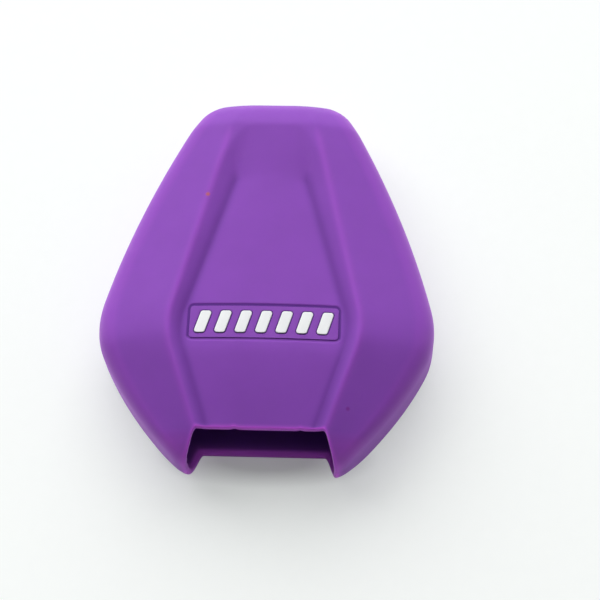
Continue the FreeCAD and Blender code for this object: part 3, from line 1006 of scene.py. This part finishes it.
def padlock_outline(lift):
    """A padlock's outline, its bow lifted off the right leg by lift when open."""
    foot = LOCK_BODY_HEIGHT / 2
    outer, inner = SHACKLE_RADIUS + ICON_STROKE / 2, SHACKLE_RADIUS - ICON_STROKE / 2
    bow = (0.0, foot + SHACKLE_RISE + lift)
    body = rounded_bar(LOCK_BODY_WIDTH / 2, foot, LOCK_CORNER_RADIUS, 0.0)
    left_leg, inside = [(-inner, foot)], arc(bow, inner, 180, 0)
    outside = arc(bow, outer, 0, 180) + [(-outer, foot)]
    if lift:
        free_end = bow[1] - SHACKLE_OPENING
        return [body + left_leg + inside + [(inner, free_end), (outer, free_end)] + outside]
    return [body + [(outer, foot)] + outside, left_leg + inside + [(inner, foot)]]


def bell_outline():
    """A bell with its rim, and a clapper apart below it."""
    middle, stroke = -BELL_SKIRT / 2, ICON_STROKE / 2
    bottom, top = middle - stroke, middle + stroke
    rim = rounded_bar(BELL_RIM_WIDTH / 2, stroke, ICON_STROKE / 3, middle)
    dome = arc((0.0, BELL_SKIRT / 2), BELL_RADIUS, 0, 180, BELL_STEPS)
    bell = [(-BELL_RADIUS, top)] + rim + [(BELL_RADIUS, top)] + dome
    return [bell, arc((0.0, bottom - BELL_CLAPPER_GAP), BELL_CLAPPER_RADIUS, 180, 360)]


def make_icon(name):
    """The pad's sign, drawn to be read from outside with the mouth end up."""
    low, high = box_mm(f"{name}_icon")
    signs = {
        "lock": padlock_outline(0.0),
        "unlock": padlock_outline(SHACKLE_OPENING),
        "alarm": bell_outline(),
    }
    outlines = signs[name]
    corners = np.array([point for outline in outlines for point in outline])
    shift = (corners.min(axis=0) + corners.max(axis=0)) / 2
    middle = (low[:2] + high[:2]) / 2
    placed = [[tuple(middle - (np.array(p) - shift)) for p in outline] for outline in outlines]
    return slab(f"{name}_icon_skin", placed, low[2], high[2], ICON_EDGE)


def linear(colour):
    """A colour of 0 to 255 steps, as seen on a screen, in linear light."""
    shares = [c / 255 for c in colour]
    return [c / 12.92 if c <= 0.04045 else ((c + 0.055) / 1.055) ** 2.4 for c in shares] + [1.0]


# Colours, as 0 to 255 steps on a screen, and specks of dust on the skin as place, radius, colour.
PURPLE = (131, 70, 175)
# Colour mixed in for painted light: highlights on the rim and ridges, light on walls, tips and lower
# lip.
PAINTED_LIGHT_PURPLE = (208, 96, 236)
# Colour mixed in for painted shade in the creases, the badge groove and the inside.
PAINTED_SHADE_PURPLE = (54, 10, 104)
WHITE = (228, 230, 231)
SPECKS = (
    ((-9.35, 11.1, 14.05), 0.45, (176, 92, 110)),
    ((12.4, -22.4, 13.4), 0.4, (124, 52, 150)),
)
SPOT_CORE = 0.4

# Skins: depth of the clouds in the colour, roughness, and size and depth of the grain in
# millimetres; then the gloss, the sheen and how much light goes into each silicone.
PURPLE_SKIN = {"variation": 0.025, "roughness": 0.6, "grain_mm": 0.16, "grain_depth_mm": 0.006}
WHITE_SKIN = {"variation": 0.015, "roughness": 0.5, "grain_mm": 0.2, "grain_depth_mm": 0.004}
CLOUD_SIZE = 5.0
CLOUD_EDGES = (0.3, 0.7)
PLAIN_DETAIL = 2.0
FINE_DETAIL = 3.0
ROUGHNESS_PATCH = 1.2
ROUGHNESS_SPREAD = 0.05
SILICONE_GLOSS = {"IOR": 1.41, "Specular IOR Level": 0.15}
SEE_THROUGH = {"purple_silicone": 0.2, "thin_silicone": 0.6}
PURPLE_SHEEN = {
    "Subsurface Radius": (1.0, 0.35, 1.3),
    "Subsurface Scale": 0.8 * MM,
    "Sheen Weight": 0.5,
    "Sheen Roughness": 0.45,
    "Sheen Tint": (0.8, 0.45, 1.0, 1.0),
}


class Nodes:
    """Short ways to build the nodes of a material or of the world."""

    def __init__(self, data, shader="Principled BSDF"):
        data.use_nodes = True
        self.data = data
        self.tree = data.node_tree
        self.shader = self.tree.nodes[shader]

    def put(self, socket, value):
        """Links an output to a socket, or sets the socket to a plain value."""
        if isinstance(value, bpy.types.NodeSocket):
            self.tree.links.new(value, socket)
        else:
            socket.default_value = value

    def new(self, kind, **inputs):
        node = self.tree.nodes.new(kind)
        for key, value in inputs.items():
            self.put(node.inputs[key.replace("_", " ")], value)
        return node

    def shade(self, inputs):
        """Puts outputs and plain values on the shader's own sockets."""
        for key, value in inputs.items():
            self.put(self.shader.inputs[key], value)

    def place(self, kind="Object"):
        return self.new("ShaderNodeTexCoord").outputs[kind]

    def noise(self, size_mm, detail=PLAIN_DETAIL):
        """Noise with features of about this size."""
        scale = 1 / (size_mm * MM)
        noise = self.new("ShaderNodeTexNoise", Vector=self.place(), Scale=scale, Detail=detail)
        return noise.outputs["Fac"]

    def clouds(self, size_mm, first, last, detail=PLAIN_DETAIL):
        """Clouds of about this size between two colours."""
        ramp = self.new("ShaderNodeValToRGB", Fac=self.noise(size_mm, detail))
        for element, position, colour in zip(ramp.color_ramp.elements, CLOUD_EDGES, (first, last)):
            element.position = position
            element.color = colour
        return ramp.outputs["Color"]

    def maths(self, operation, first, second, kind="ShaderNodeMath", output="Value"):
        """An output of a sum on two values."""
        node = self.tree.nodes.new(kind)
        node.operation = operation
        self.put(node.inputs[0], first)
        self.put(node.inputs[1], second)
        return node.outputs[output]

    def mapped(self, value, **limits):
        """A value moved from one range into another."""
        return self.new("ShaderNodeMapRange", Value=value, **limits).outputs["Result"]

    def mix(self, factor, first, second):
        """first where a factor is 0, and second where it is 1."""
        mix = self.tree.nodes.new("ShaderNodeMix")
        mix.data_type = "RGBA"
        for key, value in (("Factor", factor), ("A", first), ("B", second)):
            self.put(mix.inputs[key], value)
        return mix.outputs["Result"]

    def spot(self, place_mm, radius_mm, widening=1.0):
        """1 near a place on the piece, falling to 0 at a radius from it, which is wider along x."""
        shape = (1 / widening, 1.0, 1.0)
        narrowed = self.maths("MULTIPLY", self.place(), shape, "ShaderNodeVectorMath", "Vector")
        middle = [p * share * MM for p, share in zip(place_mm, shape)]
        distance = self.maths("DISTANCE", narrowed, middle, "ShaderNodeVectorMath")
        edges = {"From_Min": SPOT_CORE * radius_mm * MM, "From_Max": radius_mm * MM}
        return self.mapped(distance, **edges, To_Min=1.0, To_Max=0.0)


def silicone(name, colour, variation, roughness, grain_mm, grain_depth_mm):
    """Matte moulded silicone: soft gloss, a fine grain and faint clouds in the colour."""
    made = Nodes(bpy.data.materials.new(name))
    base = linear(colour)
    dark = [c * (1 - variation) for c in base[:3]] + [1.0]
    pale = [min(c * (1 + variation), 1.0) for c in base[:3]] + [1.0]
    made.colour = made.clouds(CLOUD_SIZE, dark, pale, FINE_DETAIL)
    limits = {"To_Min": roughness - ROUGHNESS_SPREAD, "To_Max": roughness + ROUGHNESS_SPREAD}
    rough = made.mapped(made.noise(ROUGHNESS_PATCH), **limits)
    grain = made.noise(grain_mm, FINE_DETAIL)
    bump = made.new("ShaderNodeBump", Height=grain, Strength=1.0, Distance=grain_depth_mm * MM)
    made.shade({"Roughness": rough, "Normal": bump.outputs["Normal"], **SILICONE_GLOSS})
    return made


def purple_silicone(name):
    """Violet silicone, paler where its layer paints light and darker where it paints shade, with
    specks of dust.
    """
    made = silicone(name, PURPLE, **PURPLE_SKIN)
    layer = made.new("ShaderNodeAttribute")
    layer.attribute_name = PAINTED_SHADING_LAYER
    painted_shading = layer.outputs["Fac"]
    # Positive values of the layer mix in painted light, negative ones painted shade.
    below = made.maths("MULTIPLY", painted_shading, -1.0)
    colour = made.mix(painted_shading, made.colour, linear(PAINTED_LIGHT_PURPLE))
    colour = made.mix(below, colour, linear(PAINTED_SHADE_PURPLE))
    for place, radius, speck in SPECKS:
        colour = made.mix(made.spot(place, radius), colour, linear(speck))
    made.shade({"Base Color": colour, "Subsurface Weight": SEE_THROUGH[name], **PURPLE_SHEEN})
    return made.data


def white_silicone(name):
    made = silicone(name, WHITE, **WHITE_SKIN)
    made.shade({"Base Color": made.colour})
    return made.data


def dress(piece, material):
    piece.data.materials.clear()
    piece.data.materials.append(material)
    return piece


def make_pieces():
    purple = purple_silicone("purple_silicone")
    thin = purple_silicone("thin_silicone")
    white = white_silicone("white_silicone")
    sleeve = dress(make_sleeve(), purple)
    plate, marks = make_badge()
    dress(plate, purple)
    dress(marks, white)
    for piece, node in ((sleeve, "sleeve"), (plate, "badge_plate"), (marks, "badge_bars")):
        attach(piece, "cover")
        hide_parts(node)
    for name, middle_y in zip(PAD_NAMES, pad_middles()):
        pad = dress(make_pad(name), purple)
        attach(pad, f"{name}_button")
        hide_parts(f"{name}_pad")
        web = dress(make_web(name), thin)
        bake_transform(web)
        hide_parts(f"{name}_pad_web")
        icon = dress(make_icon(name), white)
        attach(icon, f"{name}_button")
        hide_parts(f"{name}_icon")


# Camera: fitted to the photograph's outline. The aim is a point inside the cover, and its pixel
# is where that point lies in the 600 by 600 picture.
IMAGE_SIZE = 600
CAMERA_ELEVATION = 65.97
CAMERA_AZIMUTH = 6.24
CAMERA_ROLL = -4.63
CAMERA_DISTANCE = 247.9
CAMERA_LENS = 99.0
SENSOR = 36.0
CLIP_START = 0.005
AIM = (0.0, -0.85, 7.5)
AIM_PIXEL = (268.97, 285.75)


def make_camera():
    elevation, azimuth = math.radians(CAMERA_ELEVATION), math.radians(CAMERA_AZIMUTH)
    roll = math.radians(CAMERA_ROLL)
    flat = math.cos(elevation)
    back = Vector((math.sin(azimuth) * flat, -math.cos(azimuth) * flat, math.sin(elevation)))
    level = Vector((math.cos(azimuth), math.sin(azimuth), 0.0))
    right = level * math.cos(roll) + back.cross(level) * math.sin(roll)
    up = back.cross(right)
    pixels = CAMERA_LENS / SENSOR * IMAGE_SIZE
    across, down = [(p - IMAGE_SIZE / 2) / pixels * CAMERA_DISTANCE for p in AIM_PIXEL]
    place = Vector(AIM) + back * CAMERA_DISTANCE - right * across + up * down
    data = bpy.data.cameras.new("camera")
    data.sensor_width = SENSOR
    data.lens = CAMERA_LENS
    data.clip_start = CLIP_START
    camera = in_scene("camera", data)
    turn = Matrix((right, up, back)).transposed().to_4x4()
    camera.matrix_world = Matrix.Translation(place * MM) @ turn
    bpy.context.scene.camera = camera


# Light: a large soft lamp behind and above on the left, and a surround that is pale behind the
# cover and dim on the camera's side.
KEY_PLACE = (-0.22, 0.68, 0.60)
KEY_SIZE = (1.6, 1.2)
KEY_POWER = 15.4
SURROUND_UP = (0.2, 0.887, 0.415)
SURROUND_LEVELS = {"From_Min": 0.0, "From_Max": 0.42, "To_Min": 0.08, "To_Max": 0.55}
FLOOR_REACH = 6000.0
FLOOR_Z = -0.05
FLOOR_COLOUR = (0.96, 0.975, 0.97, 1.0)
PAPER_DARK = 0.985
PAPER_GRAIN = 2.0
PAPER_GLOSS = {"Roughness": 0.9, "Specular IOR Level": 0.1}
FLOOR_GLOW = (0.96, 1.0, 0.975, 1.0)
FLOOR_GLOW_SHARE = 0.46
# Painted shadow at the mouth: the paper's lower lift towards white there, and its reach and widening.
MOUTH_GLOW_SHARE = 0.175
MOUTH_GLOW_REACH = 4.8
MOUTH_GLOW_WIDENING = 3.6


def paper():
    """Pale paper that keeps its shadow, lifted towards white where seen, less so at the mouth, where
    that paints a shadow.
    """
    made = Nodes(bpy.data.materials.new("white_paper"))
    dark = [PAPER_DARK * c for c in FLOOR_COLOUR[:3]] + [1.0]
    made.shade({"Base Color": made.clouds(PAPER_GRAIN, dark, FLOOR_COLOUR), **PAPER_GLOSS})
    seen = made.new("ShaderNodeLightPath").outputs
    ray = seen["Is Camera Ray"]
    for other in ("Is Glossy Ray", "Is Transmission Ray"):
        ray = made.maths("MAXIMUM", ray, seen[other])
    # Painted shadow on the paper along the mouth's lip.
    mouth_painted_shadow = made.spot((0.0, LIP_Y, FLOOR_Z), MOUTH_GLOW_REACH, MOUTH_GLOW_WIDENING)
    lift = made.mapped(mouth_painted_shadow, To_Min=FLOOR_GLOW_SHARE, To_Max=MOUTH_GLOW_SHARE)
    glow = made.new("ShaderNodeEmission", Color=FLOOR_GLOW)
    both = made.new("ShaderNodeMixShader", Fac=made.maths("MULTIPLY", ray, lift))
    made.put(both.inputs[1], made.shader.outputs["BSDF"])
    made.put(both.inputs[2], glow.outputs["Emission"])
    made.put(made.tree.nodes["Material Output"].inputs["Surface"], both.outputs["Shader"])
    return made.data


def make_lamp():
    data = bpy.data.lights.new("key", "AREA")
    data.shape = "RECTANGLE"
    data.size, data.size_y = KEY_SIZE
    data.energy = KEY_POWER
    lamp = in_scene("key", data)
    lamp.location = KEY_PLACE
    lamp.rotation_euler = (-Vector(KEY_PLACE)).to_track_quat("-Z", "Y").to_euler()


def make_surround():
    made = Nodes(bpy.data.worlds.new("surround"), "Background")
    place = made.place("Generated")
    facing = made.maths("DOT_PRODUCT", place, SURROUND_UP, "ShaderNodeVectorMath")
    strength = made.mapped(facing, **SURROUND_LEVELS)
    made.shade({"Strength": strength, "Color": (1.0, 1.0, 1.0, 1.0)})
    bpy.context.scene.world = made.data


def make_stage():
    maker = MeshMaker()
    sides = ((-1, -1), (1, -1), (1, 1), (-1, 1))
    corners = [(x * FLOOR_REACH, y * FLOOR_REACH, FLOOR_Z) for x, y in sides]
    maker.faces.append(tuple(maker.add(corners)))
    floor = maker.object("floor", smooth=False)
    floor.data.materials.append(paper())
    make_lamp()
    make_surround()
    bpy.context.scene.view_settings.view_transform = "Standard"


make_pieces()
make_camera()
make_stage()
